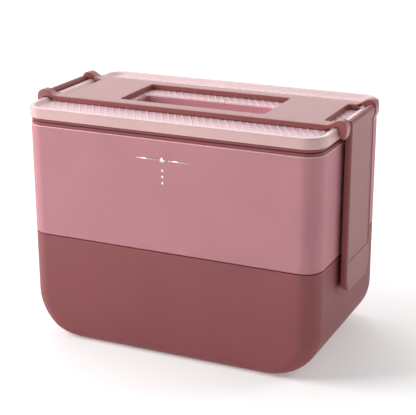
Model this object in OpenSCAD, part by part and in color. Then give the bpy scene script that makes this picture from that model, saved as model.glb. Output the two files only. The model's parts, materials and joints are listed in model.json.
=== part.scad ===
// Two-tier bento lunch box with a locking handle frame, two side clasps and a cutlery tray.
// Millimetres. Origin: centre of the footprint on the table. +X along the length, -Y is the front.

/* [Containers] */
// Length of both tiers
body_l = 180; // [140:1:220]
// Depth of both tiers
body_w = 107.5; // [80:0.5:140]
// Radius of the upright corners seen from above
corner_r = 11.2; // [6:0.1:20]
// Height of the seam between the tiers
seam_z = 64.5; // [45:0.5:90]
// Height of the upper tier's rim
upper_top = 130.4; // [100:0.1:170]
// Bottom radius at the two ends of the lower tier
end_r = 27.5; // [10:0.5:40]
// Bottom radius along the front and back of the lower tier
side_r = 7; // [3:0.5:20]
// Wall thickness of the tiers
wall = 2.2; // [1.2:0.1:4]
// Inner radius at the bottom of the upper tier
inner_r = 6; // [2:0.5:15]
// Where the lower divider stands along the length
lower_div_x = 18; // [-50:1:50]
// Where the upper divider stands along the length
upper_div_x = -20; // [-50:1:50]
// Divider thickness
div_t = 1.8; // [1:0.1:4]

/* [Lids] */
// Height of the inner lid's band
band_h = 4.1; // [2:0.1:8]
// Height of the outer lid's side
lid_h = 6.25; // [4:0.05:12]
// How far the outer lid stands out past the tiers
lid_over = 0.9; // [0:0.1:3]
// How far the inner lid's band is set back from the tiers
band_in = 0.5; // [0:0.1:0.8]
// Depth of the recess in the top of the outer lid
recess = 1.65; // [0.5:0.05:3]
// Height of the cutlery tray's floor
tray_z = 124.4; // [115:0.1:130]
// Length of the finger well
well_l = 82.4; // [60:0.2:100]
// Back edge of the finger well
well_back = 5.6; // [0:0.1:15]
// Front edge of the finger well
well_front = -27; // [-40:0.5:-10]
// Height of the finger well's floor
well_z = 129; // [127.5:0.1:136]
// Radius of the finger well's corners
well_r = 3; // [1:0.5:8]

/* [Handle frame] */
// Depth of the frame
frame_w = 59.2; // [40:0.2:80]
// Thickness of the frame
frame_t = 3.1; // [2:0.1:6]
// Length of the window
window_l = 90; // [60:1:120]
// Depth of the window
window_w = 41; // [25:0.2:60]
// Inner face of each hinge arm from the middle
hook_in = 22.7; // [15:0.1:30]
// How far the arms rise above the frame where they cross the lid's rim
arm_rise = 3.1; // [1:0.1:5]
// Radius of the bend where an arm turns down
arm_r = 4.2; // [3:0.1:4.2]
// Radius of an arm's tip
tip_r = 1.4; // [0.8:0.1:1.6]

/* [Clasps] */
// Width of a clasp
clasp_w = 40.4; // [25:0.2:60]
// Bottom end of a clasp
clasp_z = 43; // [38:0.5:43]
// Thickness of a clasp
clasp_t = 3.8; // [2:0.1:6]
// Hinge axis, distance from the middle
hinge_x = 93.6; // [90:0.1:100]
// Hinge axis height
hinge_z = 141; // [130:0.1:150]
// Radius of the rolled edge round the hinge axis
roll_r = 2.2; // [1.6:0.05:2.2]
// Radius of the moulded hinge stubs
stub_r = 1.2; // [0.8:0.05:2]
// Radial running clearance of the stubs
run_gap = 0.05; // [0.02:0.01:0.1]
// Depth of the sunk part of a clasp's face
face_sink = 0.4; // [0.1:0.1:1]
// Plain border on each side of the sunk part
face_border = 1.9; // [1:0.1:8]
// Height of the sunk part
face_h = 75.5; // [40:0.5:76]
// Length of a clasp's tongue
tongue_l = 28; // [15:1:28]
// Height of a clasp's tongue
tongue_h = 2.2; // [1:0.1:2.5]

/* [Catches] */
// Height of the catch ribs' lower face
rib_z = 46; // [46:0.5:55]
// Length of a catch rib
rib_l = 32; // [20:1:60]
// Height of a catch rib
rib_h = 2; // [1:0.1:4]
// How far a catch rib stands out
rib_out = 0.95; // [0.5:0.05:0.95]

/* [Hidden] */
$fn = 64;
e = 0.01;
fit = 0.3;
in_l = body_l - 2 * wall;
in_w = body_w - 2 * wall;
in_r = corner_r - wall;
band_top = upper_top + band_h;
lid_top = band_top + lid_h;
panel_z = lid_top - recess;
lid_l = body_l + 2 * lid_over;
lid_w = body_w + 2 * lid_over;
lid_r = corner_r + lid_over;
foot_h = 4;
plug_l = in_l - 0.7;
plug_w = in_w - 0.7;
plug_r = in_r - 0.35;
frame_top = panel_z + frame_t;
hook_w = frame_w / 2 - hook_in;
arm_x = 80;
arm_in = lid_l / 2 + 0.35;
clasp_out = hinge_x + roll_r;
tongue_x = body_l / 2 + rib_out + 0.15;
tongue_z = rib_z - 0.3 - tongue_h;
well_w = well_back - well_front;
well_y = (well_back + well_front) / 2;

wine = [0.44, 0.23, 0.25];
rose = [0.67, 0.42, 0.45];
blush = [0.9, 0.75, 0.75];
seal = [0.85, 0.82, 0.8];
cream = [0.86, 0.72, 0.71];

// flat shapes

module round_rect(l, w, r) {
  square([l, w - 2 * r], center = true);
  square([l - 2 * r, w], center = true);
  for (sx = [-1, 1])
    for (sy = [-1, 1])
      translate([sx * (l / 2 - r), sy * (w / 2 - r)])
        circle(r);
}

// open-topped tub outline with round lower corners, standing on the line y = 0
module cup_shape(l, h, r) {
  translate([-l / 2, r])
    square([l, h - r]);
  translate([-l / 2 + r, 0])
    square([l - 2 * r, r + e]);
  for (s = [-1, 1])
    translate([s * (l / 2 - r), r])
      circle(r);
}

// block with upright corners rounded
module block(l, w, h, r, z = 0) {
  translate([0, 0, z])
    linear_extrude(h)
      round_rect(l, w, r);
}

// ring between two rounded outlines
module ring(l, w, r, t, h, z) {
  difference() {
    block(l, w, h, r, z);
    block(l - 2 * t, w - 2 * t, h + 2, r - t, z - 1);
  }
}

// a shape drawn in X and Z, pushed out along Y from y0 by length w
module along_y(y0, w) {
  translate([0, y0 + w, 0])
    rotate([90, 0, 0])
      linear_extrude(w)
        children();
}

// a shape drawn in Y and Z, pushed out along X from x0 by length l
module along_x(x0, l) {
  translate([x0, 0, 0])
    rotate([90, 0, 90])
      linear_extrude(l)
        children();
}

// solid tub: round at the ends, along the sides and at the upright corners
module tub(l, w, h, rc, re, rs) {
  intersection() {
    block(l, w, h, rc);
    along_y(-w, 2 * w)
      cup_shape(l, h + 1, re);
    along_x(-l, 2 * l)
      cup_shape(w, h + 1, rs);
  }
}

// slots for a divider: a pair of ribs on the front and the back wall
module divider_guides(x, z0, z1) {
  for (sx = [-1, 1])
    for (sy = [-1, 1])
      translate([x + sx * (div_t / 2 + 0.95) - 0.75, sy * (in_w / 2 - 1) - 1.2, z0])
        cube([1.5, 2.4, z1 - z0]);
}

// divider plate that follows the tub's floor
module divider_plate(x, z0, z1, r) {
  translate([0, 0, z0])
    along_x(x - div_t / 2, div_t)
      intersection() {
        cup_shape(in_w - 2 * fit, z1 - z0 + 5, r);
        translate([-in_w / 2, 0])
          square([in_w, z1 - z0]);
      }
}

// the ledge the clasps bite under, on both ends of the lower tier
module catch_ribs() {
  for (s = [-1, 1])
    translate([s * (body_l / 2 + rib_out / 2 - 0.25), 0, rib_z + rib_h / 2])
      cube([rib_out + 0.5, rib_l, rib_h], center = true);
}

module lower_container() {
  color(wine)
    difference() {
      union() {
        tub(body_l, body_w, seam_z, corner_r, end_r, side_r);
        catch_ribs();
      }
      difference() {
        translate([0, 0, 2.4])
          tub(in_l, in_w, seam_z, in_r, end_r - wall, side_r - wall);
        divider_guides(lower_div_x, 12, 57);
      }
    }
}

module lower_divider() {
  color(rose)
    divider_plate(lower_div_x, 2.4 + fit, 58, side_r - wall);
}

module upper_container() {
  color(rose)
    difference() {
      union() {
        block(body_l, body_w, upper_top - seam_z, corner_r, seam_z);
        ring(in_l - 2 * fit, in_w - 2 * fit, in_r - fit, 3.6, foot_h + 1, seam_z - foot_h);
      }
      ring(body_l + 2, body_w + 2, corner_r + 1, 1.5, 0.5, seam_z);
      ring(in_l + 2, in_w + 2, in_r + 1, 1 + fit + 1.6, 1.8, seam_z - 3);
      difference() {
        translate([0, 0, seam_z + 2.4])
          tub(in_l, in_w, upper_top, in_r, inner_r, inner_r);
        divider_guides(upper_div_x, seam_z + 12, 121.5);
      }
    }
}

module tier_gasket() {
  color(seal)
    ring(in_l - 0.3, in_w - 0.3, in_r - 0.15, 1.75, 1.8, seam_z - 3);
}

module upper_divider() {
  color(blush)
    divider_plate(upper_div_x, seam_z + 2.4 + fit, 121.9, inner_r);
}

module inner_lid() {
  color(wine)
    difference() {
      union() {
        block(body_l - 2 * band_in, body_w - 2 * band_in, band_h, corner_r - band_in, upper_top);
        block(plug_l, plug_w, upper_top - tray_z + 3, plug_r, tray_z - 2);
        ring(lid_l - 4.7, lid_w - 4.7, lid_r - 2.35, 1.5, 2.5, band_top - 1);
      }
      ring(body_l + 2, body_w + 2, corner_r + 1, 1.5 + band_in, 0.5, upper_top + 1.8);
      ring(plug_l + 2, plug_w + 2, plug_r + 1, 2.6, 3, tray_z + 1.2);
      block(plug_l - 6, plug_w - 6, 20, plug_r - 3, tray_z);
    }
}

module lid_gasket() {
  color(seal)
    ring(in_l - 0.4, in_w - 0.4, in_r - 0.2, 1.75, 3, tray_z + 1.2);
}

module spoon() {
  color(cream) {
    translate([52, 23.7, tray_z])
      intersection() {
        difference() {
          translate([0, 0, 21])
            sphere(r = 21, $fn = 96);
          translate([0, 0, 22.4])
            sphere(r = 21, $fn = 96);
        }
        cylinder(r = 13, h = 8);
      }
    translate([-70, 23.7, tray_z + 3.2])
      linear_extrude(1.8) {
        translate([0, -3.8])
          square([111, 7.6]);
        circle(3.8);
      }
  }
}

module fork() {
  color(cream)
    translate([0, 40.9, tray_z])
      linear_extrude(2)
        difference() {
          union() {
            translate([-66, -3.8])
              square([136, 7.6]);
            translate([70, 0])
              circle(3.8);
            translate([-76, -7])
              square([30, 14]);
          }
          for (i = [-1, 0, 1])
            translate([-77, i * 3.8 - 0.8])
              square([22, 1.6]);
        }
}

module outer_lid() {
  color(blush)
    difference() {
      block(lid_l, lid_w, lid_h, lid_r, band_top);
      block(lid_l - 7.2, lid_w - 8.3, 5, lid_r - 3.6, panel_z);
      block(lid_l - 4, lid_w - 4, panel_z - 1.9 - band_top + 1, lid_r - 2, band_top - 1);
      translate([0, well_y, 0])
        block(well_l + 3.2, well_w + 3.2, 20, 6.6, band_top);
    }
}

module finger_well() {
  color(rose)
    translate([0, well_y, 0])
      difference() {
        union() {
          block(well_l + 3, well_w + 3, panel_z - 0.2 - well_z + 1.5, 6.5, well_z - 1.5);
          block(well_l + 9, well_w + 9, 1.5, 9.5, panel_z - 3.4);
        }
        block(well_l, well_w, 20, well_r, well_z);
      }
}

// outline of the frame's flat plate
module frame_shape() {
  difference() {
    round_rect(169, frame_w, 1.5);
    round_rect(window_l, window_w, 2);
    for (s = [-1, 1])
      translate([s * 90, 0])
        round_rect(20, 41, 2);
  }
}

// side view of one arm: over the lid's rim and down past its side
module hook_shape() {
  under = [[arm_x, panel_z], [83.6, panel_z], [87, lid_top + 0.35], [90.6, lid_top + 0.5],
           [arm_in, lid_top - 0.15], [arm_in, lid_top - 3.95], [93.2, band_top + 0.45]];
  over = [[95.2, band_top + tip_r], [clasp_out, lid_top + 0.35],
          [clasp_out - arm_r, frame_top + arm_rise], [84.5, frame_top], [arm_x, frame_top]];
  polygon(concat(under, over));
  translate([clasp_out - arm_r, lid_top + 0.35])
    intersection() {
      circle(arm_r);
      square(arm_r + 1);
    }
  translate([93.9, band_top + tip_r])
    circle(tip_r);
}

module handle_frame() {
  color(wine)
    difference() {
      union() {
        translate([0, 0, panel_z])
          linear_extrude(frame_t)
            frame_shape();
        for (mx = [0, 1])
          for (sy = [hook_in, -frame_w / 2])
            mirror([mx, 0, 0])
              along_y(sy, hook_w)
                hook_shape();
      }
      for (s = [-1, 1])
        translate([s * hinge_x, 0, hinge_z])
          rotate([90, 0, 0])
            cylinder(r = stub_r + run_gap, h = 2 * hook_in + 8, center = true);
    }
}

// face of a clasp seen from its end of the box
module clasp_shape() {
  round_rect(clasp_w, 40, 9);
  translate([-clasp_w / 2, 0])
    square([clasp_w, hinge_z - 1 - clasp_z - 20]);
}

module clasp() {
  color(wine)
    difference() {
      union() {
        translate([0, 0, clasp_z + 20])
          along_x(clasp_out - clasp_t, clasp_t)
            clasp_shape();
        translate([hinge_x, 0, hinge_z])
          rotate([90, 0, 0])
            cylinder(r = roll_r, h = clasp_w, center = true);
        translate([hinge_x, 0, hinge_z])
          rotate([90, 0, 0])
            cylinder(r = stub_r, h = 2 * hook_in + 7.4, center = true);
        translate([tongue_x, -tongue_l / 2, tongue_z])
          cube([2, tongue_l, tongue_h]);
      }
      translate([clasp_out - face_sink, face_border - clasp_w / 2, clasp_z + 18.5])
        cube([1, clasp_w - 2 * face_border, face_h]);
    }
}

module clasp_right() {
  clasp();
}

module clasp_left() {
  mirror([1, 0, 0])
    clasp();
}

lower_container();
lower_divider();
upper_container();
tier_gasket();
upper_divider();
inner_lid();
lid_gasket();
spoon();
fork();
outer_lid();
finger_well();
handle_frame();
clasp_right();
clasp_left();
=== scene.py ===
import json
import math
import bmesh
import bpy
from mathutils import Matrix, Vector


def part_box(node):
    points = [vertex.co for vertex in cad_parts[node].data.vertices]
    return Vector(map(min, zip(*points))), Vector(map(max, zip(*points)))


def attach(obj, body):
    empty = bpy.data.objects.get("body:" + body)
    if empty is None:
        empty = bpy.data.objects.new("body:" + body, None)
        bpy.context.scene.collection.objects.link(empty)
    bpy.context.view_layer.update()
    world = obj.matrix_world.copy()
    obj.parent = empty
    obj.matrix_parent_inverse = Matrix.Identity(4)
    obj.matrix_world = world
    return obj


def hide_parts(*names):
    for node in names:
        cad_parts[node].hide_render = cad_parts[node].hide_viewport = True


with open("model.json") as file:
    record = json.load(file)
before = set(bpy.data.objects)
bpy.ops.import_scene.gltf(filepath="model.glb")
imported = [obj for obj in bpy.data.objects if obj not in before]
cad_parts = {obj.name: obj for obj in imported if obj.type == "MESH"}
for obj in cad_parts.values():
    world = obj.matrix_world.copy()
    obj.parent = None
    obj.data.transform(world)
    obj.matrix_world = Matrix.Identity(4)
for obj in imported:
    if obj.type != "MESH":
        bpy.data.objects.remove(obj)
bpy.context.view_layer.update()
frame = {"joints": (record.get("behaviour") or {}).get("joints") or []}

# Pieces are drawn in millimetres and scaled to metres once they are whole.
MM = 0.001


def node_box(name):
    """Lowest and highest corner of a CAD node, in millimetres."""
    return [[round(c / MM, 3) for c in corner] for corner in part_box(name)]


# Places and outer sizes, read from the frame
HALF_L, HALF_W, RIM = node_box("upper_container")[1]
SEAM = node_box("lower_container")[1][2]
LID_HALF_L, LID_HALF_W, TOP = node_box("outer_lid")[1]
BAND = node_box("outer_lid")[0][2]
TRAY = node_box("fork")[0][2]
WELL_LOW, WELL_HIGH = node_box("finger_well")
CLASP_LOW, CLASP_HIGH = node_box("clasp_right")
right_hinge = next(j for j in frame["joints"] if j["name"] == "right_clasp_swing")
HINGE_X, HINGE_Z = (round(right_hinge["pos_m"][k] / MM, 3) for k in (0, 2))

# Tiers: walls, floors and corners in plan, then the rounds along the floor of the lower tier (END_R at
# its ends, SIDE_R along its sides) and of the upper tier (UPPER_R)
WALL = 2.2
FLOOR_T = 2.4
CORNER_R = 11.2
INNER_CORNER_R = CORNER_R - WALL
END_R = 27.5
SIDE_R = 7.0
UPPER_R = 6.0

# Lids: PANEL is the height of the outer lid's recessed panel, and BAND_IN the inset of the inner lid's band
PANEL = TOP - 1.65
BAND_IN = 0.5
WELL_FLANGE = 4.5
WELL_HALF_L = WELL_HIGH[0] - WELL_FLANGE
WELL_HALF_W = (WELL_HIGH[1] - WELL_LOW[1]) / 2 - WELL_FLANGE
WELL_Y = (WELL_HIGH[1] + WELL_LOW[1]) / 2
WELL_FLOOR = WELL_LOW[2] + 1.5

# Handle frame: the flat strap and its window, and the four arms, which start at ARM_X and are parted by
# a notch at each end
STRAP_T = 3.1
STRAP_HALF_W = 29.6
WINDOW_HALF_L = 45.0
WINDOW_HALF_W = 20.5
ARM_X = 80.0
ARM_IN = 22.75
NOTCH_X = 84.3
STATION_STEP = 1.5


# ---------------------------------------------------------------- materials

def add_node(tree, kind, **values):
    """Adds a shader node and sets its inputs; an underscore in a keyword stands for a space."""
    node = tree.nodes.new(kind)
    for key, value in values.items():
        node.inputs[key.replace("_", " ")].default_value = value
    return node


def new_material(name):
    """Makes a node material and returns it, its tree and its Principled shader."""
    m = bpy.data.materials.new(name)
    m.use_nodes = True
    return m, m.node_tree, m.node_tree.nodes["Principled BSDF"]


def plastic(name, colour, rough=0.5, grain=0.05, mottle=0.05, edge_highlight=0.12,
            scale=1.0, coat=0.0, sss=0.0, ior=1.5):
    """Moulded plastic: spark-eroded grain, slightly uneven colour and gloss, and paler outward edges that are
    a painted highlight.
    """
    m, tree, bsdf = new_material(name)
    link = tree.links.new
    place = tree.nodes.new("ShaderNodeTexCoord").outputs["Object"]

    # colour that drifts a little across the moulding
    cloud = add_node(tree, "ShaderNodeTexNoise", Scale=26.0 * scale, Detail=3.0)
    link(place, cloud.inputs["Vector"])
    tint = tree.nodes.new("ShaderNodeValToRGB")
    darker, paler = tint.color_ramp.elements
    darker.position = 0.3
    paler.position = 0.7
    darker.color = (*[c * (1 - mottle) for c in colour], 1)
    paler.color = (*[min(1.0, c * (1 + mottle)) for c in colour], 1)
    link(cloud.outputs["Fac"], tint.inputs["Fac"])

    # painted highlight: paler colour along outward edges, standing in for the light that rounded edges catch
    geo = tree.nodes.new("ShaderNodeNewGeometry")
    edge = add_node(tree, "ShaderNodeMapRange", From_Min=0.515, From_Max=0.60, To_Min=0.0, To_Max=edge_highlight)
    link(geo.outputs["Pointiness"], edge.inputs["Value"])
    edge_highlight_mix = tree.nodes.new("ShaderNodeMix")
    edge_highlight_mix.data_type = "RGBA"
    edge_highlight_mix.inputs["B"].default_value = (*[min(1.0, c * 1.25 + 0.06) for c in colour], 1)
    link(edge.outputs["Result"], edge_highlight_mix.inputs["Factor"])
    link(tint.outputs["Color"], edge_highlight_mix.inputs["A"])
    link(edge_highlight_mix.outputs["Result"], bsdf.inputs["Base Color"])

    # gloss that varies from grain to grain
    speck = add_node(tree, "ShaderNodeTexNoise", Scale=900.0 * scale, Detail=2.0)
    link(place, speck.inputs["Vector"])
    gloss = add_node(tree, "ShaderNodeMapRange", From_Min=0.3, From_Max=0.7,
                     To_Min=rough - 0.05, To_Max=rough + 0.05)
    link(speck.outputs["Fac"], gloss.inputs["Value"])
    link(gloss.outputs["Result"], bsdf.inputs["Roughness"])

    # fine pitted relief
    pores = add_node(tree, "ShaderNodeTexVoronoi", Scale=1700.0 * scale)
    link(place, pores.inputs["Vector"])
    relief = tree.nodes.new("ShaderNodeMath")
    relief.operation = "ADD"
    link(speck.outputs["Fac"], relief.inputs[0])
    link(pores.outputs["Distance"], relief.inputs[1])
    bump = add_node(tree, "ShaderNodeBump", Strength=grain, Distance=0.0002)
    link(relief.outputs["Value"], bump.inputs["Height"])
    link(bump.outputs["Normal"], bsdf.inputs["Normal"])

    bsdf.inputs["IOR"].default_value = ior
    bsdf.inputs["Coat Weight"].default_value = coat
    bsdf.inputs["Coat Roughness"].default_value = 0.3
    bsdf.inputs["Subsurface Weight"].default_value = sss
    bsdf.inputs["Subsurface Scale"].default_value = 0.002
    return m


def foil(name):
    """Stamped silver foil."""
    m = plastic(name, (0.78, 0.75, 0.74), rough=0.28, grain=0.03, mottle=0.04, edge_highlight=0.0)
    m.node_tree.nodes["Principled BSDF"].inputs["Metallic"].default_value = 0.85
    return m


WINE = plastic("wine_plastic", (0.325, 0.090, 0.088), rough=0.36, edge_highlight=0.2, ior=1.55)
WINE_FACE = plastic("wine_clasp_plastic", (0.262, 0.062, 0.066), rough=0.42, edge_highlight=0.2)
WINE_BODY = plastic("wine_body_plastic", (0.244, 0.055, 0.060), rough=0.56, grain=0.12, edge_highlight=0.3)
ROSE = plastic("rose_plastic", (0.465, 0.190, 0.219), rough=0.56, grain=0.12, edge_highlight=0.4)
# paler rose for the upper tier's top rim: a painted highlight along that edge
ROSE_RIM_HIGHLIGHT = plastic("rose_rim_highlight_plastic", (0.74, 0.43, 0.47), rough=0.38, grain=0.04, edge_highlight=0.3)
ROSE_WELL = plastic("rose_well_plastic", (0.66, 0.315, 0.36), grain=0.30, mottle=0.09, scale=0.8)
BLUSH = plastic("blush_plastic", (0.645, 0.412, 0.402), rough=0.34, grain=0.02, edge_highlight=0.25)
# lighter blush for the lattice: painted light on the lid's top, with painted highlights on the ridge edges
LATTICE_LIT = plastic("blush_lattice_lit_plastic", (0.75, 0.52, 0.55), rough=0.34, grain=0.02, edge_highlight=0.9)
# lighter blush for the panel's upward faces: painted light on the lid's top
BLUSH_TOP_LIT = plastic("blush_panel_lit_plastic", (0.78, 0.57, 0.58), rough=0.34, grain=0.02, edge_highlight=0.25)
CREAM = plastic("cream_plastic", (0.74, 0.50, 0.49), rough=0.35, grain=0.03, coat=0.1)
SEAL = plastic("seal_rubber", (0.62, 0.56, 0.54), rough=0.6, sss=0.1)
FOIL = foil("silver_foil")


# ---------------------------------------------------------------- mesh tools

def finish_mesh(bm, name, mat, body, nodes=(), weighted=True):
    """Turns a bmesh drawn in millimetres into a smooth-shaded piece that rides on a body."""
    bmesh.ops.remove_doubles(bm, verts=bm.verts, dist=0.0005)
    bmesh.ops.recalc_face_normals(bm, faces=bm.faces)
    bmesh.ops.scale(bm, vec=(MM, MM, MM), verts=bm.verts)
    mesh = bpy.data.meshes.new(name)
    bm.to_mesh(mesh)
    bm.free()
    for p in mesh.polygons:
        p.use_smooth = True
    ob = bpy.data.objects.new(name, mesh)
    bpy.context.scene.collection.objects.link(ob)
    mesh.materials.append(mat)
    if weighted:
        w = ob.modifiers.new("even_normals", "WEIGHTED_NORMAL")
        w.weight = 60
        w.keep_sharp = True
    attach(ob, body)
    if nodes:
        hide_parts(*nodes)
    return ob


def second_finish(ob, mat, chosen):
    """Gives a second material to the faces that chosen(centre in millimetres, normal) accepts."""
    ob.data.materials.append(mat)
    for p in ob.data.polygons:
        if chosen(p.center / MM, p.normal):
            p.material_index = 1


def corner_normals(n):
    """Sign of each corner of a rectangle, with the directions that a rounded corner turns through."""
    for k, (sx, sy) in enumerate([(1, 1), (-1, 1), (-1, -1), (1, -1)]):
        for i in range(n + 1):
            t = math.pi / 2 * (k + i / n)
            yield sx, sy, math.cos(t), math.sin(t)


def rounded_rect(a, b, r, z, n=10, cx=0.0, cy=0.0):
    """Points round a rounded rectangle with half sizes a and b, at height z."""
    r = max(0.02, min(r, a - 0.01, b - 0.01))
    pts = []
    for sx, sy, nx, ny in corner_normals(n):
        pts.append(Vector((cx + sx * (a - r) + r * nx, cy + sy * (b - r) + r * ny, z)))
    return pts


def circle(r, n):
    """Points round a circle, as pairs."""
    turn = [2 * math.pi * i / n for i in range(n)]
    return [(r * math.cos(t), r * math.sin(t)) for t in turn]


def ease(k):
    """Smooth step from 0 to 1."""
    k = min(1.0, max(0.0, k))
    return 3 * k * k - 2 * k ** 3


def add_loop(bm, pts):
    """Adds one vertex for each point."""
    return [bm.verts.new(p) for p in pts]


def skin(bm, loops, closed=False, cap_first=False, cap_last=False):
    """Joins loops of equal length into a surface."""
    rows = [add_loop(bm, p) for p in loops]
    pairs = list(zip(rows, rows[1:]))
    if closed:
        pairs.append((rows[-1], rows[0]))
    for a, b in pairs:
        n = len(a)
        for i in range(n):
            j = (i + 1) % n
            bm.faces.new((a[i], a[j], b[j], b[i]))
    if cap_first:
        bm.faces.new(rows[0][::-1])
    if cap_last:
        bm.faces.new(rows[-1])
    return rows


def sweep(profile, half_l=HALF_L, half_w=HALF_W, rc=CORNER_R):
    """Profile of (inset, z) carried round the box's outline."""
    return [rounded_rect(half_l - d, half_w - d, rc - d, z, n=12) for d, z in profile]


def rounded_box(bm, lo, hi, r, n=3):
    """Box with all its edges rounded."""
    a, b = (hi[0] - lo[0]) / 2, (hi[1] - lo[1]) / 2
    cx, cy = (hi[0] + lo[0]) / 2, (hi[1] + lo[1]) / 2
    r = min(r, a * 0.99, b * 0.99, (hi[2] - lo[2]) / 2 * 0.99)
    quarter = [math.pi / 2 * i / n for i in range(n + 1)]
    sections = [(r - r * math.sin(t), lo[2] + r - r * math.cos(t)) for t in quarter]
    sections += [(r - r * math.cos(t), hi[2] - r + r * math.sin(t)) for t in quarter]
    loops = [rounded_rect(a - d, b - d, r - d + 0.02, z, n=n, cx=cx, cy=cy) for d, z in sections]
    skin(bm, loops, cap_first=True, cap_last=True)


def bulge(r, z):
    """How far a round of radius r has come out at height z above its foot."""
    return math.sqrt(max(0.0, r * r - max(0.0, r - z) ** 2))


def tub_loops(half_l, half_w, rc, re, rs, z0, z1):
    """Sections of a tub whose floor curves up at the ends (re) and along the sides (rs)."""
    zs = set()
    for r, steps in ((re, 16), (rs, 8)):
        for i in range(steps + 1):
            zs.add(round(r * (1 - math.cos(math.pi / 2 * i / steps)), 4))
    zs = [z for z in sorted(zs) if z < z1 - z0 - 0.5]
    loops = []
    for z in zs + [z1 - z0]:
        loops.append(rounded_rect(half_l - re + bulge(re, z), half_w - rs + bulge(rs, z), rc, z0 + z, n=12))
    return loops


# ---------------------------------------------------------------- the two tiers

def make_lower_container():
    bm = bmesh.new()
    outer = tub_loops(HALF_L, HALF_W, CORNER_R, END_R, SIDE_R, 0.0, SEAM - 0.4)
    rim = sweep([(0.12, SEAM - 0.12), (0.4, SEAM), (WALL - 0.5, SEAM), (WALL - 0.15, SEAM - 0.15)])
    inner = tub_loops(HALF_L - WALL, HALF_W - WALL, INNER_CORNER_R, END_R - WALL, SIDE_R - WALL,
                      FLOOR_T, SEAM - 0.5)
    skin(bm, outer + rim + inner[::-1], cap_first=True, cap_last=True)
    finish_mesh(bm, "lower_tier", WINE_BODY, "base", ["lower_container"])


def make_catch_ribs():
    """The ledges that the clasps bite under, set 0.5 mm into the lower tier's ends."""
    bm = bmesh.new()
    rib_in = HALF_L - 0.5
    rib_out = node_box("lower_container")[1][0]
    half, low, high = 16, 46, 48
    for s in (-1, 1):
        x0, x1 = sorted((s * rib_in, s * rib_out))
        rounded_box(bm, (x0, -half, low), (x1, half, high), 0.4)
    finish_mesh(bm, "catch_ribs", WINE_BODY, "base", ())


def make_upper_container():
    """Tub with a seam groove at its foot and a smaller foot, grooved for the seal, that nests below."""
    bm = bmesh.new()
    foot = WALL + 0.3
    profile = [(foot + 3.6, SEAM), (foot + 3.6, SEAM - 3.6), (foot + 3.2, SEAM - 4)]
    profile += [(foot + 0.4, SEAM - 4), (foot, SEAM - 3.6)]
    profile += [(foot, SEAM - 3), (foot + 1.6, SEAM - 3), (foot + 1.6, SEAM - 1.2), (foot, SEAM - 1.2)]
    profile += [(foot, SEAM), (0.95, SEAM), (0.95, SEAM + 0.5)]
    profile += [(0.34, SEAM + 0.55), (0.1, SEAM + 0.66), (0, SEAM + 0.95)]
    profile += [(0, RIM - 0.5), (0.08, RIM - 0.18), (0.3, RIM - 0.02), (0.5, RIM)]
    profile += [(WALL - 0.4, RIM), (WALL, RIM - 0.4)]
    inner = tub_loops(HALF_L - WALL, HALF_W - WALL, INNER_CORNER_R, UPPER_R, UPPER_R,
                      SEAM + FLOOR_T, RIM - 0.8)
    skin(bm, sweep(profile) + inner[::-1], cap_first=True, cap_last=True)
    ob = finish_mesh(bm, "upper_tier", ROSE, "upper", ["upper_container"])
    # faces of the top rim take the paler rose, a painted highlight along the edge
    second_finish(ob, ROSE_RIM_HIGHLIGHT, lambda centre, normal: centre.z > RIM - 0.45)


def make_guides(name, node, z0, z1, mat, body):
    """Two pairs of upright ribs, on the front and the back wall, that hold a divider."""
    low, high = node_box(node)
    divider_x = (low[0] + high[0]) / 2
    off, half_t = 1.85, 0.75
    rib_in, rib_out = HALF_W - 4.35, HALF_W - 1.95
    bm = bmesh.new()
    for sx in (-1, 1):
        for sy in (-1, 1):
            x = divider_x + sx * off
            y0, y1 = sorted((sy * rib_in, sy * rib_out))
            rounded_box(bm, (x - half_t, y0, z0), (x + half_t, y1, z1), 0.45)
    finish_mesh(bm, name, mat, body, ())


def make_divider(name, node, r, mat, body):
    """Partition plate with round lower corners (r) and a shallow dip in its top edge."""
    low, high = node_box(node)
    x = (low[0] + high[0]) / 2
    t = (high[0] - low[0]) / 2
    half, z0, z1 = high[1], low[2], high[2]
    dip_half, dip = 16, 5
    edge = []
    for cy, start in ((r - half, 180), (half - r, 270)):
        for i in range(9):
            a = math.radians(start + 90 * i / 8)
            edge.append((cy + r * math.cos(a), z0 + r + r * math.sin(a)))
    shoulder = [(half, z1 - 1.5), (half - 0.5, z1 - 0.4), (half - 1.5, z1)]
    edge += shoulder
    for i in range(13):
        y = dip_half - 2 * dip_half * i / 12
        edge.append((y, z1 - dip * math.cos(math.pi * y / (2 * dip_half)) ** 2))
    edge += [(-y, z) for y, z in shoulder[::-1]]
    cz = (z0 + z1) / 2

    def ring_at(dx, shrink):
        out = []
        for y, z in edge:
            v = Vector((y, z - cz))
            k = 1 - shrink / max(1.0, v.length)
            out.append(Vector((x + dx, y * k, cz + (z - cz) * k)))
        return out

    rounding = ((t, 0.35), (t - 0.12, 0.1), (t - 0.4, 0))
    loops = [ring_at(-dx, shrink) for dx, shrink in rounding]
    loops += [ring_at(dx, shrink) for dx, shrink in rounding[::-1]]
    bm = bmesh.new()
    skin(bm, loops, cap_first=True, cap_last=True)
    finish_mesh(bm, name, mat, body, [node])


# ---------------------------------------------------------------- seals

def make_seal(name, node, body):
    """Ring seal with two soft lips."""
    low, high = node_box(node)
    z0, z1 = low[2], high[2]
    h = z1 - z0
    face = HALF_L - high[0]
    root, valley, lip = face + 0.5, face + 0.35, face + 0.05
    profile = [(face + 1.7, z0 + 0.1), (root, z0 + 0.1)]
    for k in (0.28, 0.72):
        zc = z0 + h * k
        profile += [(valley, zc - h * 0.16), (lip, zc - h * 0.05)]
        profile += [(lip, zc + h * 0.05), (valley, zc + h * 0.16)]
    profile += [(root, z1 - 0.1), (face + 1.7, z1 - 0.1)]
    bm = bmesh.new()
    skin(bm, sweep(profile), closed=True)
    finish_mesh(bm, name, SEAL, body, [node])


# ---------------------------------------------------------------- lids

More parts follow.
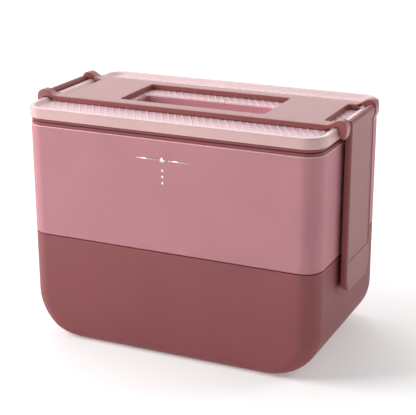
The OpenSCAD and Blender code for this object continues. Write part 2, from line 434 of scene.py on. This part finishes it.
def make_inner_lid():
    """Plug with a seal groove, a band of two ridges, a locating rib on top, and the cutlery tray."""
    plug = WALL + 0.35
    profile = [(plug + 1.2, TRAY - 2), (plug + 0.35, TRAY - 1.65), (plug, TRAY - 0.9), (plug, TRAY + 1.2)]
    profile += [(plug + 1.6, TRAY + 1.2), (plug + 1.6, TRAY + 4.2), (plug, TRAY + 4.2)]
    profile += [(plug, RIM), (1.0, RIM)]
    groove_in = 1.45
    for low, high in ((RIM, RIM + 1.75), (RIM + 2.25, BAND)):
        profile += [(BAND_IN + 0.35, low + 0.05), (BAND_IN + 0.1, low + 0.2), (BAND_IN, low + 0.5)]
        profile += [(BAND_IN, high - 0.5), (BAND_IN + 0.1, high - 0.2), (BAND_IN + 0.35, high - 0.05)]
        if high < BAND:
            profile += [(groove_in, high), (groove_in, high + 0.5)]
    profile += [(groove_in, BAND), (groove_in, BAND + 1.2), (1.75, BAND + 1.5), (2.65, BAND + 1.5)]
    profile += [(2.95, BAND + 1.2), (2.95, BAND + 0.3), (3.3, BAND)]
    tray = plug + 3
    profile += [(tray - 0.6, BAND), (tray - 0.15, BAND - 0.15), (tray, BAND - 0.6), (tray, TRAY + 3.0)]
    profile += [(tray + 0.35, TRAY + 1.5), (tray + 1.2, TRAY + 0.45), (tray + 2.6, TRAY)]
    bm = bmesh.new()
    skin(bm, sweep(profile), cap_first=True, cap_last=True)
    finish_mesh(bm, "inner_lid_tray", WINE_BODY, "inner", ["inner_lid"])


def corners_and_edges(faces):
    """Vertices and edges of some faces, each listed once."""
    verts = list(dict.fromkeys(v for f in faces for v in f.verts))
    edges = list(dict.fromkeys(e for f in faces for e in f.edges))
    return verts, edges


def clip_convex(bm, half_l, half_w, r, cy=0.0, keep_inside=True):
    """Cuts the flat mesh along a rounded rectangle and removes what lies outside (or inside)."""
    planes = []
    for sx, sy, nx, ny in corner_normals(6):
        co = Vector((sx * (half_l - r) + r * nx, cy + sy * (half_w - r) + r * ny, 0))
        planes.append((co, Vector((nx, ny, 0))))
    if keep_inside:
        for co, no in planes:
            geom = bm.verts[:] + bm.edges[:] + bm.faces[:]
            bmesh.ops.bisect_plane(bm, geom=geom, plane_co=co, plane_no=no, clear_outer=True)
        return
    margin = 8
    for co, no in planes:
        near = []
        for f in bm.faces:
            c = f.calc_center_median()
            if abs(c.x) < half_l + margin and abs(c.y - cy) < half_w + margin:
                near.append(f)
        verts, edges = corners_and_edges(near)
        bmesh.ops.bisect_plane(bm, geom=verts + edges + near, plane_co=co, plane_no=no)
    doomed = []
    for f in bm.faces:
        c = f.calc_center_median()
        if all((Vector((c.x, c.y, 0)) - co).dot(no) < 0 for co, no in planes):
            doomed.append(f)
    bmesh.ops.delete(bm, geom=doomed, context="FACES")


def ridge_grid(pitch, lean, half_l, half_w):
    """Sheet of slanted cells whose grid lines stand up as two families of ridges, one bolder.

    Ridges of a family are pitch apart along X, and run lean along X for each step along Y.
    """
    base, high, low = PANEL - 0.26, PANEL - 0.01, PANEL - 0.13
    cuts = (-0.13, -0.055, 0.055, 0.13)
    count = int((half_l + half_w * lean) / pitch) + 2
    line = [k + c for k in range(-count, count + 1) for c in cuts]
    bm = bmesh.new()
    verts = {}
    for i, u in enumerate(line):
        for j, v in enumerate(line):
            x = (u + v) / 2 * pitch
            y = (u - v) / 2 * pitch / lean
            if abs(x) > half_l + 5 or abs(y) > half_w + 9:
                continue
            z = high if i % 4 in (1, 2) else (low if j % 4 in (1, 2) else base)
            verts[i, j] = bm.verts.new((x, y, z))
    for i, j in list(verts):
        quad = [verts.get(k) for k in ((i, j), (i + 1, j), (i + 1, j + 1), (i, j + 1))]
        if all(quad):
            bm.faces.new(quad)
    return bm, base


def make_lattice():
    """Raised diamond lattice on the lid's panel, as a thin solid sunk into the panel."""
    half_l, half_w, r = 84.7, 48.45, 6.0
    bm, base = ridge_grid(pitch=4.4, lean=0.577, half_l=half_l, half_w=half_w)
    clip_convex(bm, half_l, half_w, r)
    clip_convex(bm, WELL_HALF_L + 2.4, WELL_HALF_W + 2.4, 7.4, cy=WELL_Y, keep_inside=False)
    border = [e for e in bm.edges if len(e.link_faces) == 1]
    for v in {v for e in border for v in e.verts}:
        v.co.z = base
    made = bmesh.ops.extrude_edge_only(bm, edges=border)["geom"]
    for g in made:
        if isinstance(g, bmesh.types.BMVert):
            g.co.z = PANEL - 0.7
    bm.normal_update()
    walls = [g for g in made if isinstance(g, bmesh.types.BMFace)]
    verts, edges = corners_and_edges(walls)
    flat = math.radians(0.5)
    bmesh.ops.dissolve_limit(bm, angle_limit=flat, use_dissolve_boundaries=True, verts=verts, edges=edges)
    bottom = [e for e in bm.edges if len(e.link_faces) == 1]
    bmesh.ops.bridge_loops(bm, edges=bottom)
    # the lattice takes the lighter blush, painted light on the lid's top
    ob = finish_mesh(bm, "lid_lattice", LATTICE_LIT, "outer", (), weighted=False)
    ob.data.set_sharp_from_angle(angle=math.radians(10))


def make_outer_lid():
    """Lid with a raised rim whose inner side slopes to the panel, and a hole for the finger well."""
    base, under = PANEL - 0.48, PANEL - 1.9
    rim_in, slope_w = 2.3, 3.7
    profile = [(2.0, under), (2.0, BAND + 0.15), (1.85, BAND)]
    profile += [(0.5, BAND), (0.15, BAND + 0.15), (0.0, BAND + 0.5)]
    profile += [(0.0, TOP - 0.75), (0.05, TOP - 0.45), (0.2, TOP - 0.2), (0.45, TOP - 0.05)]
    profile += [(0.75, TOP), (rim_in, TOP)]
    for k in range(1, 11):
        profile.append((rim_in + slope_w * k / 10, TOP - (TOP - base) * ease(k / 10)))
    bm = bmesh.new()
    lid_r = CORNER_R + LID_HALF_L - HALF_L
    rows = skin(bm, sweep(profile, half_l=LID_HALF_L, half_w=LID_HALF_W, rc=lid_r))
    hole_l, hole_w, hole_r = WELL_HALF_L + 1.55, WELL_HALF_W + 1.55, 6.5
    hole_top = add_loop(bm, rounded_rect(hole_l, hole_w, hole_r, base, cy=WELL_Y))
    hole_low = add_loop(bm, rounded_rect(hole_l, hole_w, hole_r, under, cy=WELL_Y))
    n = len(hole_top)
    for i in range(n):
        j = (i + 1) % n
        bm.faces.new((hole_top[i], hole_top[j], hole_low[j], hole_low[i]))
    bm.edges.ensure_lookup_table()
    for ring, hole in ((rows[-1], hole_top), (rows[0], hole_low)):
        ids = set(ring) | set(hole)
        edges = [e for e in bm.edges if set(e.verts) <= ids and len(e.link_faces) == 1]
        bmesh.ops.triangle_fill(bm, use_beauty=True, use_dissolve=False, edges=edges)
    ob = finish_mesh(bm, "outer_lid_shell", BLUSH, "outer", ["outer_lid"])
    # upward faces of the panel take the lighter blush: painted light on the lid's top
    second_finish(ob, BLUSH_TOP_LIT, lambda centre, normal: centre.z > PANEL - 0.6 and normal.z > 0.6)


def make_finger_well():
    """Tray with thin walls, a flange under the lid's panel and a rounded inner floor edge."""
    top, under = PANEL - 0.2, WELL_FLOOR - 1.5
    flange_low, flange_high = PANEL - 3.4, PANEL - 1.92
    floor_r = 3.0
    profile = [(-6, under, 2), (1.0, under, 6), (1.5, under + 0.5, 6.5)]
    profile += [(1.5, flange_low, 6.5), (4.2, flange_low, 9.2), (4.5, flange_low + 0.3, 9.5)]
    profile += [(4.5, flange_high, 9.5), (1.5, flange_high, 6.5), (1.5, top - 0.3, 6.5)]
    profile += [(1.2, top, 4.2), (0.3, top, 3.3), (0.08, top - 0.08, 3.1), (0.0, top - 0.35, 3.0)]
    profile.append((0.0, WELL_FLOOR + floor_r, 3.0))
    for i in range(1, 7):
        t = math.pi / 2 * i / 6
        z = WELL_FLOOR + floor_r - floor_r * math.sin(t)
        profile.append((-floor_r + floor_r * math.cos(t), z, 3.0 - 0.8 * math.sin(t)))
    profile.append((-8, WELL_FLOOR, 2))
    loops = [rounded_rect(WELL_HALF_L + d, WELL_HALF_W + d, r, z, cy=WELL_Y) for d, z, r in profile]
    bm = bmesh.new()
    skin(bm, loops, cap_first=True, cap_last=True)
    finish_mesh(bm, "finger_well_insert", ROSE_WELL, "outer", ["finger_well"])


# ---------------------------------------------------------------- handle frame

# Side view of an arm: (x, z) of points on its top and its underside, from the strap over the lid's rim
STATIONS = [
    ((80.0, 142.2), (80.0, 139.1)),
    ((82.6, 142.2), (83.0, 139.1)),
    ((84.6, 142.32), (84.6, 139.65)),
    ((86.4, 142.95), (86.2, 140.6)),
    ((88.4, 144.1), (87.8, 141.12)),
    ((90.0, 144.95), (89.1, 141.3)),
    ((91.7, 145.28), (90.0, 141.32)),
    ((93.4, 144.9), (90.75, 141.15)),
    ((94.9, 143.6), (91.15, 140.7)),
    ((95.65, 141.7), (91.25, 139.9)),
    ((95.75, 139.6), (91.25, 138.6)),
    ((95.5, 137.4), (91.3, 137.3)),
    ((94.95, 135.7), (92.0, 136.1)),
    ((94.3, 134.75), (92.7, 135.5)),
]


def catmull(pts, t):
    """Smooth curve through the points, t from 0 to len - 1."""
    n = len(pts)
    i = min(int(t), n - 2)
    f = t - i
    p = [pts[max(0, min(n - 1, k))] for k in (i - 1, i, i + 1, i + 2)]
    out = []
    for k in range(2):
        a, b, c, d = (q[k] for q in p)
        bend = (2 * a - 5 * b + 4 * c - d) * f * f + (3 * b - a - 3 * c + d) * f ** 3
        out.append(0.5 * (2 * b + (c - a) * f + bend))
    return out


def bend_arm(x, depth):
    """Carries a point of the flat strap, depth 0 at its underside and 1 on top, over the lid's rim."""
    s = abs(x)
    if s <= ARM_X:
        return x, PANEL + depth * STRAP_T
    t = min((s - ARM_X) / STATION_STEP, len(STATIONS) - 1)
    top = catmull([q[0] for q in STATIONS], t)
    low = catmull([q[1] for q in STATIONS], t)
    px = low[0] + (top[0] - low[0]) * depth
    return math.copysign(px, x), low[1] + (top[1] - low[1]) * depth


def solid_from_grid(xs, ys, keep, height):
    """Closed flat solid made of the grid cells that keep(x, y) accepts."""
    bm = bmesh.new()
    low, high = {}, {}

    def vert(store, i, j, z):
        if (i, j) not in store:
            store[i, j] = bm.verts.new((xs[i], ys[j], z))
        return store[i, j]

    cells = set()
    for i in range(len(xs) - 1):
        for j in range(len(ys) - 1):
            if keep((xs[i] + xs[i + 1]) / 2, (ys[j] + ys[j + 1]) / 2):
                cells.add((i, j))
    for i, j in sorted(cells):
        c = [(i, j), (i + 1, j), (i + 1, j + 1), (i, j + 1)]
        bm.faces.new([vert(high, *k, height) for k in c])
        bm.faces.new([vert(low, *k, 0.0) for k in c[::-1]])
        for side, (di, dj) in enumerate([(0, -1), (1, 0), (0, 1), (-1, 0)]):
            if (i + di, j + dj) not in cells:
                a, b = c[side], c[(side + 1) % 4]
                foot = (vert(low, *a, 0.0), vert(low, *b, 0.0))
                bm.faces.new((*foot, vert(high, *b, height), vert(high, *a, height)))
    return bm


def bevel_upright(bm, corners, r, segments=5):
    """Rounds the upright edges that stand at the given places in plan."""
    edges = []
    for e in bm.edges:
        a, b = e.verts
        if abs(a.co.z - b.co.z) < 0.5:
            continue
        if any(abs(abs(a.co.x) - x) < 0.02 and abs(abs(a.co.y) - y) < 0.02 for x, y in corners):
            edges.append(e)
    bmesh.ops.bevel(bm, geom=edges, offset=r, segments=segments, profile=0.5, affect="EDGES")


def bevel_outline(bm, r, segments=3):
    """Rounds the edges between flat faces and walls."""
    edges = []
    for e in bm.edges:
        if len(e.link_faces) != 2:
            continue
        a, b = (f.normal for f in e.link_faces)
        if (abs(a.z) > 0.9) != (abs(b.z) > 0.9):
            edges.append(e)
    bmesh.ops.bevel(bm, geom=edges, offset=r, segments=segments, profile=0.5, affect="EDGES")


def make_handle_frame():
    """Flat strap with a window, notched at both ends, whose four arms bend over the lid's rim."""
    end = ARM_X + STATION_STEP * (len(STATIONS) - 1)
    steps = [NOTCH_X + (end - NOTCH_X) * i / 26 for i in range(27)]
    half = [0.0, WINDOW_HALF_L, ARM_X, ARM_X + 1.1, ARM_X + 2.2, ARM_X + 3.2] + steps
    xs = [-x for x in half[:0:-1]] + half
    ys = [-STRAP_HALF_W, -ARM_IN, -WINDOW_HALF_W, WINDOW_HALF_W, ARM_IN, STRAP_HALF_W]

    def keep(x, y):
        x, y = abs(x), abs(y)
        if y < WINDOW_HALF_W:
            return WINDOW_HALF_L < x < ARM_X
        if y < ARM_IN:
            return x < NOTCH_X
        return True

    bm = solid_from_grid(xs, ys, keep, STRAP_T)
    bm.normal_update()
    bevel_upright(bm, [(WINDOW_HALF_L, WINDOW_HALF_W), (ARM_X, WINDOW_HALF_W)], 2.0)
    bevel_upright(bm, [(NOTCH_X, WINDOW_HALF_W)], 1.2)
    bevel_upright(bm, [(NOTCH_X, ARM_IN)], 0.8)
    bevel_upright(bm, [(end, ARM_IN), (end, STRAP_HALF_W)], 0.7, 3)
    bm.normal_update()
    bevel_outline(bm, 0.6)
    for v in bm.verts:
        v.co.x, v.co.z = bend_arm(v.co.x, v.co.z / STRAP_T)
    ob = finish_mesh(bm, "handle_frame_strap", WINE, "handle", ["handle_frame"])
    bore_r, bore_half_l = 1.25, 26.7
    for s in (-1, 1):
        bore(ob, s * HINGE_X, HINGE_Z, bore_r, bore_half_l)


def bore(ob, x, z, r, half):
    """Bores a hole along Y through the inner faces of the hooks."""
    bm = bmesh.new()
    loops = [[Vector((x + dx, y, z + dz)) for dx, dz in circle(r, 32)] for y in (-half, half)]
    skin(bm, loops, cap_first=True, cap_last=True)
    bmesh.ops.recalc_face_normals(bm, faces=bm.faces)
    bmesh.ops.scale(bm, vec=(MM, MM, MM), verts=bm.verts)
    mesh = bpy.data.meshes.new("cutter")
    bm.to_mesh(mesh)
    bm.free()
    tool = bpy.data.objects.new("cutter", mesh)
    bpy.context.scene.collection.objects.link(tool)
    mod = ob.modifiers.new("bore", "BOOLEAN")
    mod.object = tool
    mod.operation = "DIFFERENCE"
    mod.solver = "EXACT"
    others = [m for m in ob.modifiers if m != mod]
    for m in others:
        m.show_viewport = False
    bpy.context.view_layer.update()
    shown = ob.evaluated_get(bpy.context.evaluated_depsgraph_get())
    made = bpy.data.meshes.new_from_object(shown)
    ob.modifiers.remove(mod)
    for m in others:
        m.show_viewport = True
    ob.data = made
    bpy.data.objects.remove(tool)


# ---------------------------------------------------------------- clasps

def clasp_section(z, lo, hi, w, ro, ri, depth, face_half, slope):
    """Outline of a clasp at height z: outer corners ro, inner corners ri, face sunk by depth."""
    pts = []

    def corner(cx, cy, r, t0):
        for i in range(6):
            t = math.radians(t0 + 90 * i / 5)
            pts.append(Vector((cx + r * math.cos(t), cy + r * math.sin(t), z)))

    step = (-slope, -slope / 2, 0.0, slope / 2, slope)
    edge = (w - ro) * 0.98
    corner(hi - ro, -w + ro, ro, -90)
    for y in [-face_half - d for d in step[::-1]] + [0.0] + [face_half + d for d in step]:
        k = ease((face_half + slope - abs(y)) / (2 * slope))
        pts.append(Vector((hi - depth * k, max(-edge, min(edge, y)), z)))
    corner(hi - ro, w - ro, ro, 0)
    corner(lo + ri, w - ri, ri, 90)
    corner(lo + ri, -w + ri, ri, 180)
    return pts


def clasp_heights(z0, low_r, outer, join, roll, face_low, face_high, slope):
    """Heights of a clasp's sections: close together where it curves or steps."""
    step = (-slope, -slope / 2, 0.0, slope / 2, slope)
    zs = {z0 + low_r * (1 - math.cos(math.pi / 2 * i / 14)) for i in range(15)}
    zs |= {z0 + outer * (1 - math.cos(math.pi / 2 * i / 5)) for i in range(6)}
    zs |= {face_low + d for d in step} | {face_high + d for d in step}
    zs |= {74.0, 90.0, 106.0, 122.0, 138.4, join}
    turns = [55, 70] + list(range(90, 171, 10)) + [178]
    zs |= {HINGE_Z - roll * math.cos(math.radians(t)) for t in turns}
    return sorted(zs)


def make_clasp(side, name, node, body):
    """Long flat clasp: thin edges, a shallow sunk face, and a rolled top that turns on two stubs."""
    z0, x1, half, low_r = CLASP_LOW[2], CLASP_HIGH[0], 20.2, 9.0
    x0 = x1 - 3.8
    outer, inner, roll = 1.2, 0.6, x1 - HINGE_X
    face_low, face_high, face_half, sink, slope = 61.5, 137.0, 18.3, 0.4, 0.3
    join = HINGE_Z - math.sqrt(roll ** 2 - (HINGE_X - x0) ** 2)
    loops = []
    for z in clasp_heights(z0, low_r, outer, join, roll, face_low, face_high, slope):
        lo, hi = x0, x1
        if z >= join - 0.001:
            h = math.sqrt(max(0.0004, roll * roll - (z - HINGE_Z) ** 2))
            lo = HINGE_X - h
            hi = HINGE_X + h if z > HINGE_Z else x1
        w = half
        if z < z0 + low_r:
            w = half - low_r + bulge(low_r, z - z0)
        if z < z0 + outer:
            hi -= outer - bulge(outer, z - z0)
        if z < z0 + inner:
            lo += inner - bulge(inner, z - z0)
        most = (hi - lo) / 2 * 0.96
        depth = sink * ease((z - face_low + slope) / (2 * slope))
        depth *= ease((face_high + slope - z) / (2 * slope))
        loops.append(clasp_section(z, lo, hi, w, min(outer, most), min(inner, most), depth, face_half, slope))
    bm = bmesh.new()
    skin(bm, loops, cap_first=True, cap_last=True)

    for s in (-1, 1):
        stub = []
        for y, r in ((19.6, 1.2), (26.0, 1.2), (26.25, 1.1), (26.4, 0.9)):
            stub.append([Vector((HINGE_X + dx, s * y, HINGE_Z + dz)) for dx, dz in circle(r, 28)])
        skin(bm, stub, cap_first=True, cap_last=True)
    tongue_half = 14
    rounded_box(bm, (CLASP_LOW[0], -tongue_half, z0 + 0.5), (x0 + 0.6, tongue_half, z0 + 2.7), 0.4)
    if side < 0:
        bmesh.ops.scale(bm, vec=(-1, 1, 1), verts=bm.verts)
    finish_mesh(bm, name, WINE_FACE, body, [node])


# ---------------------------------------------------------------- cutlery

def blade(bm, stations, nv=12):
    """Closed flat body along X: each station is x, y, z, half width, thickness and dish."""
    loops = []
    for x, y, z, w, t, dish in stations:
        top, low = [], []
        for i in range(nv + 1):
            v = math.sin((-1 + 2 * i / nv) * math.pi / 2)
            h = t / 2 * math.sqrt(max(0.0, 1 - abs(v) ** 6)) ** 0.8
            c = z - dish * (1 - v * v)
            top.append(Vector((x, y + w * v, c + h)))
            if 0 < i < nv:
                low.append(Vector((x, y + w * v, c - h)))
        loops.append(top + low[::-1])
    skin(bm, loops, cap_first=True, cap_last=True)


def handle_end(x, sign, y, z, t):
    """Stations of a handle's round end, from its tip at x inwards along sign."""
    stations = []
    for i in range(7):
        k = i / 6
        half = 3.8 * math.sqrt(max(0.02, 1 - (1 - k) ** 2))
        stations.append((x + sign * 3.6 * k, y, z, half, t, 0.0))
    return stations


def make_spoon():
    y = 23.7
    stations = handle_end(-73.6, 1, y, TRAY + 4.1, 1.4)
    shaft = ((-60, 4.0, 4.1), (-30, 3.4, 4.2), (0, 2.9, 4.3), (20, 2.8, 4.4), (32, 3.0, 4.6), (38, 4.2, 4.8))
    for x, w, z in shaft:
        stations.append((x, y, TRAY + z, w, 1.5, 0.0))
    bowl_x, bowl_l, bowl_half, neck_half, bowl_dish = 40.5, 24.4, 13.0, 5.0, 4.2
    for i in range(15):
        k = i / 14
        if k > 0.5:
            w = bowl_half * math.sqrt(1 - min(0.999, 2 * k - 1.0) ** 2.2)
        else:
            w = neck_half + (bowl_half - neck_half) * math.sin(math.pi * k)
        dish = bowl_dish * max(0.0, math.sin(math.pi * k)) ** 0.8
        stations.append((bowl_x + bowl_l * k, y, TRAY + 5.0 - 0.2 * k, max(w, 0.9), 1.1, dish))
    bm = bmesh.new()
    blade(bm, stations, nv=18)
    finish_mesh(bm, "spoon_body", CREAM, "inner", ["spoon"])


def make_fork():
    y, z = 40.9, TRAY + 1.1
    stations = handle_end(73.6, -1, y, z, 1.5)
    shaft = ((60, 4.0), (30, 3.4), (0, 2.9), (-25, 2.8), (-38, 3.2))
    head = ((-44, 5.2), (-48, 6.5), (-52, 6.95), (-55.8, 7.0))
    for x, w in shaft + head:
        stations.append((x, y, z, w, 1.5, 0.0))
    bm = bmesh.new()
    blade(bm, stations[::-1])
    prong_pitch = 3.78
    prong = ((-76.4, 0.45, 0.7), (-75.6, 0.8, 1.0), (-72, 1.15, 1.3), (-54.6, 1.35, 1.48))
    for i in (-1.5, -0.5, 0.5, 1.5):
        blade(bm, [(x, y + i * prong_pitch, z, w, t, 0.0) for x, w, t in prong], nv=8)
    finish_mesh(bm, "fork_body", CREAM, "inner", ["fork"])


# ---------------------------------------------------------------- front ornament

def make_ornament():
    """Plain stamped silver device: a thin rule broken by a small lozenge, with three dots below it."""
    y_out, y_in = -HALF_W - 0.06, -HALF_W + 0.02
    cx, cz = -1.2, 119.0
    rule_in, rule_out, rule_half_h = 3.4, 16.0, 0.28
    lozenge_r, dot_r, first_dot, dot_pitch = 1.9, 0.75, 6.0, 3.6
    bm = bmesh.new()

    def plate(pts):
        back = [Vector((x, y_in, z)) for x, z in pts]
        front = [Vector((x, y_out, z)) for x, z in pts]
        skin(bm, [back, front], cap_first=True, cap_last=True)

    for s in (-1, 1):
        xa, xb = sorted((cx + s * rule_in, cx + s * rule_out))
        low, high = cz - rule_half_h, cz + rule_half_h
        plate([(xa, low), (xb, low), (xb, high), (xa, high)])
    plate([(cx + dx, cz + dz) for dx, dz in circle(lozenge_r, 4)])
    for k in range(3):
        z = cz - first_dot - dot_pitch * k
        plate([(cx + dx, z + dz) for dx, dz in circle(dot_r, 16)])
    finish_mesh(bm, "front_ornament", FOIL, "upper", (), weighted=False)


# ---------------------------------------------------------------- stage, in metres

STAGE_REACH = 8.0


def make_floor():
    """Pale paper that glows more far from the box, so it stays pale where the lights don't reach."""
    paper, tree, bsdf = new_material("studio_paper")
    bsdf.inputs["Base Color"].default_value = (0.93, 0.93, 0.93, 1)
    bsdf.inputs["Roughness"].default_value = 0.9
    bsdf.inputs["Emission Color"].default_value = (1, 1, 1, 1)
    place = tree.nodes.new("ShaderNodeTexCoord")
    away = tree.nodes.new("ShaderNodeVectorMath")
    away.operation = "LENGTH"
    glow = add_node(tree, "ShaderNodeMapRange", From_Min=0.35, From_Max=1.10, To_Min=0.25, To_Max=0.80)
    glow.interpolation_type = "SMOOTHSTEP"
    tree.links.new(place.outputs["Object"], away.inputs[0])
    tree.links.new(away.outputs["Value"], glow.inputs["Value"])
    tree.links.new(glow.outputs["Result"], bsdf.inputs["Emission Strength"])
    r = STAGE_REACH
    mesh = bpy.data.meshes.new("floor")
    mesh.from_pydata([(-r, -r, 0), (r, -r, 0), (r, r, 0), (-r, r, 0)], [], [(0, 1, 2, 3)])
    mesh.materials.append(paper)
    floor = bpy.data.objects.new("floor", mesh)
    bpy.context.scene.collection.objects.link(floor)


def make_backdrop():
    """A pale dome that only the camera sees: it lights nothing and hides the dim sky."""
    paper, tree, bsdf = new_material("backdrop_paper")
    bsdf.inputs["Base Color"].default_value = (0.0, 0.0, 0.0, 1)
    bsdf.inputs["Specular IOR Level"].default_value = 0.0
    bsdf.inputs["Emission Color"].default_value = (1, 1, 1, 1)
    bsdf.inputs["Emission Strength"].default_value = 1.0
    bm = bmesh.new()
    bmesh.ops.create_uvsphere(bm, u_segments=48, v_segments=24, radius=STAGE_REACH - 0.1)
    bmesh.ops.delete(bm, geom=[v for v in bm.verts if v.co.z < -0.01], context="VERTS")
    mesh = bpy.data.meshes.new("backdrop")
    bm.to_mesh(mesh)
    bm.free()
    mesh.materials.append(paper)
    dome = bpy.data.objects.new("backdrop", mesh)
    bpy.context.scene.collection.objects.link(dome)
    dome.visible_diffuse = False
    dome.visible_glossy = False
    dome.visible_transmission = False
    dome.visible_volume_scatter = False
    dome.visible_shadow = False


def make_world():
    """Soft white light all round, dimmer from the front than from the back."""
    world = bpy.data.worlds.new("studio")
    world.use_nodes = True
    tree = world.node_tree
    background = tree.nodes["Background"]
    background.inputs["Color"].default_value = (1, 1, 1, 1)
    place = tree.nodes.new("ShaderNodeTexCoord")
    split = tree.nodes.new("ShaderNodeSeparateXYZ")
    ramp = add_node(tree, "ShaderNodeMapRange", From_Min=0.15, From_Max=0.85, To_Min=0.20, To_Max=0.55)
    ramp.interpolation_type = "SMOOTHSTEP"
    tree.links.new(place.outputs["Generated"], split.inputs[0])
    tree.links.new(split.outputs["Y"], ramp.inputs["Value"])
    tree.links.new(ramp.outputs["Result"], background.inputs["Strength"])
    bpy.context.scene.world = world


def area_light(name, place, size, power):
    """Rectangular light aimed at the middle of the box."""
    target = Vector((0, 0, 0.07))
    light = bpy.data.lights.new(name, "AREA")
    light.shape = "RECTANGLE"
    light.size, light.size_y = size
    light.energy = power
    ob = bpy.data.objects.new(name, light)
    ob.location = place
    ob.rotation_euler = (target - Vector(place)).to_track_quat("-Z", "Y").to_euler()
    bpy.context.scene.collection.objects.link(ob)


def make_lights():
    area_light("key", (-1.05, -0.50, 0.70), (0.8, 0.8), 17.0)
    area_light("side", (1.00, 0.75, 0.75), (0.6, 0.6), 5.0)
    area_light("top", (-0.35, 0.25, 1.20), (0.7, 0.7), 4.3)
    area_light("back_strip", (-0.46, 0.98, 0.50), (1.2, 0.5), 2.9)
    bpy.context.scene.view_settings.view_transform = "Standard"


def make_camera():
    """Camera fitted to the photograph: its angle, distance, focal length and shift."""
    azimuth, elevation, roll = math.radians(24.88), math.radians(19.54), math.radians(-0.26)
    target, distance = Vector((0, 0, 0.063)), 0.7228
    flat = math.cos(elevation)
    back = Vector((math.sin(azimuth) * flat, -math.cos(azimuth) * flat, math.sin(elevation)))
    lens = bpy.data.cameras.new("camera")
    lens.sensor_width = 36
    lens.lens = 104.0365
    lens.shift_x = 0.00505
    lens.shift_y = 0.04721
    lens.clip_start = 0.01
    camera = bpy.data.objects.new("camera", lens)
    camera.location = target + back * distance
    turn = (-back).to_track_quat("-Z", "Y").to_matrix() @ Matrix.Rotation(roll, 3, "Z")
    camera.rotation_euler = turn.to_euler()
    bpy.context.scene.collection.objects.link(camera)
    bpy.context.scene.camera = camera


make_lower_container()
make_guides("lower_divider_guides", "lower_divider", 12, 57, WINE_BODY, "base")
make_catch_ribs()
make_upper_container()
make_guides("upper_divider_guides", "upper_divider", SEAM + 12, 121.5, ROSE, "upper")
make_divider("lower_partition", "lower_divider", SIDE_R - WALL, ROSE, "base")
make_divider("upper_partition", "upper_divider", UPPER_R, BLUSH, "upper")
make_seal("tier_seal", "tier_gasket", "upper")
make_seal("lid_seal", "lid_gasket", "inner")
make_inner_lid()
make_outer_lid()
make_lattice()
make_finger_well()
make_handle_frame()
make_clasp(1, "right_clasp_panel", "clasp_right", "right_clasp")
make_clasp(-1, "left_clasp_panel", "clasp_left", "left_clasp")
make_spoon()
make_fork()
make_ornament()
make_floor()
make_backdrop()
make_world()
make_lights()
make_camera()
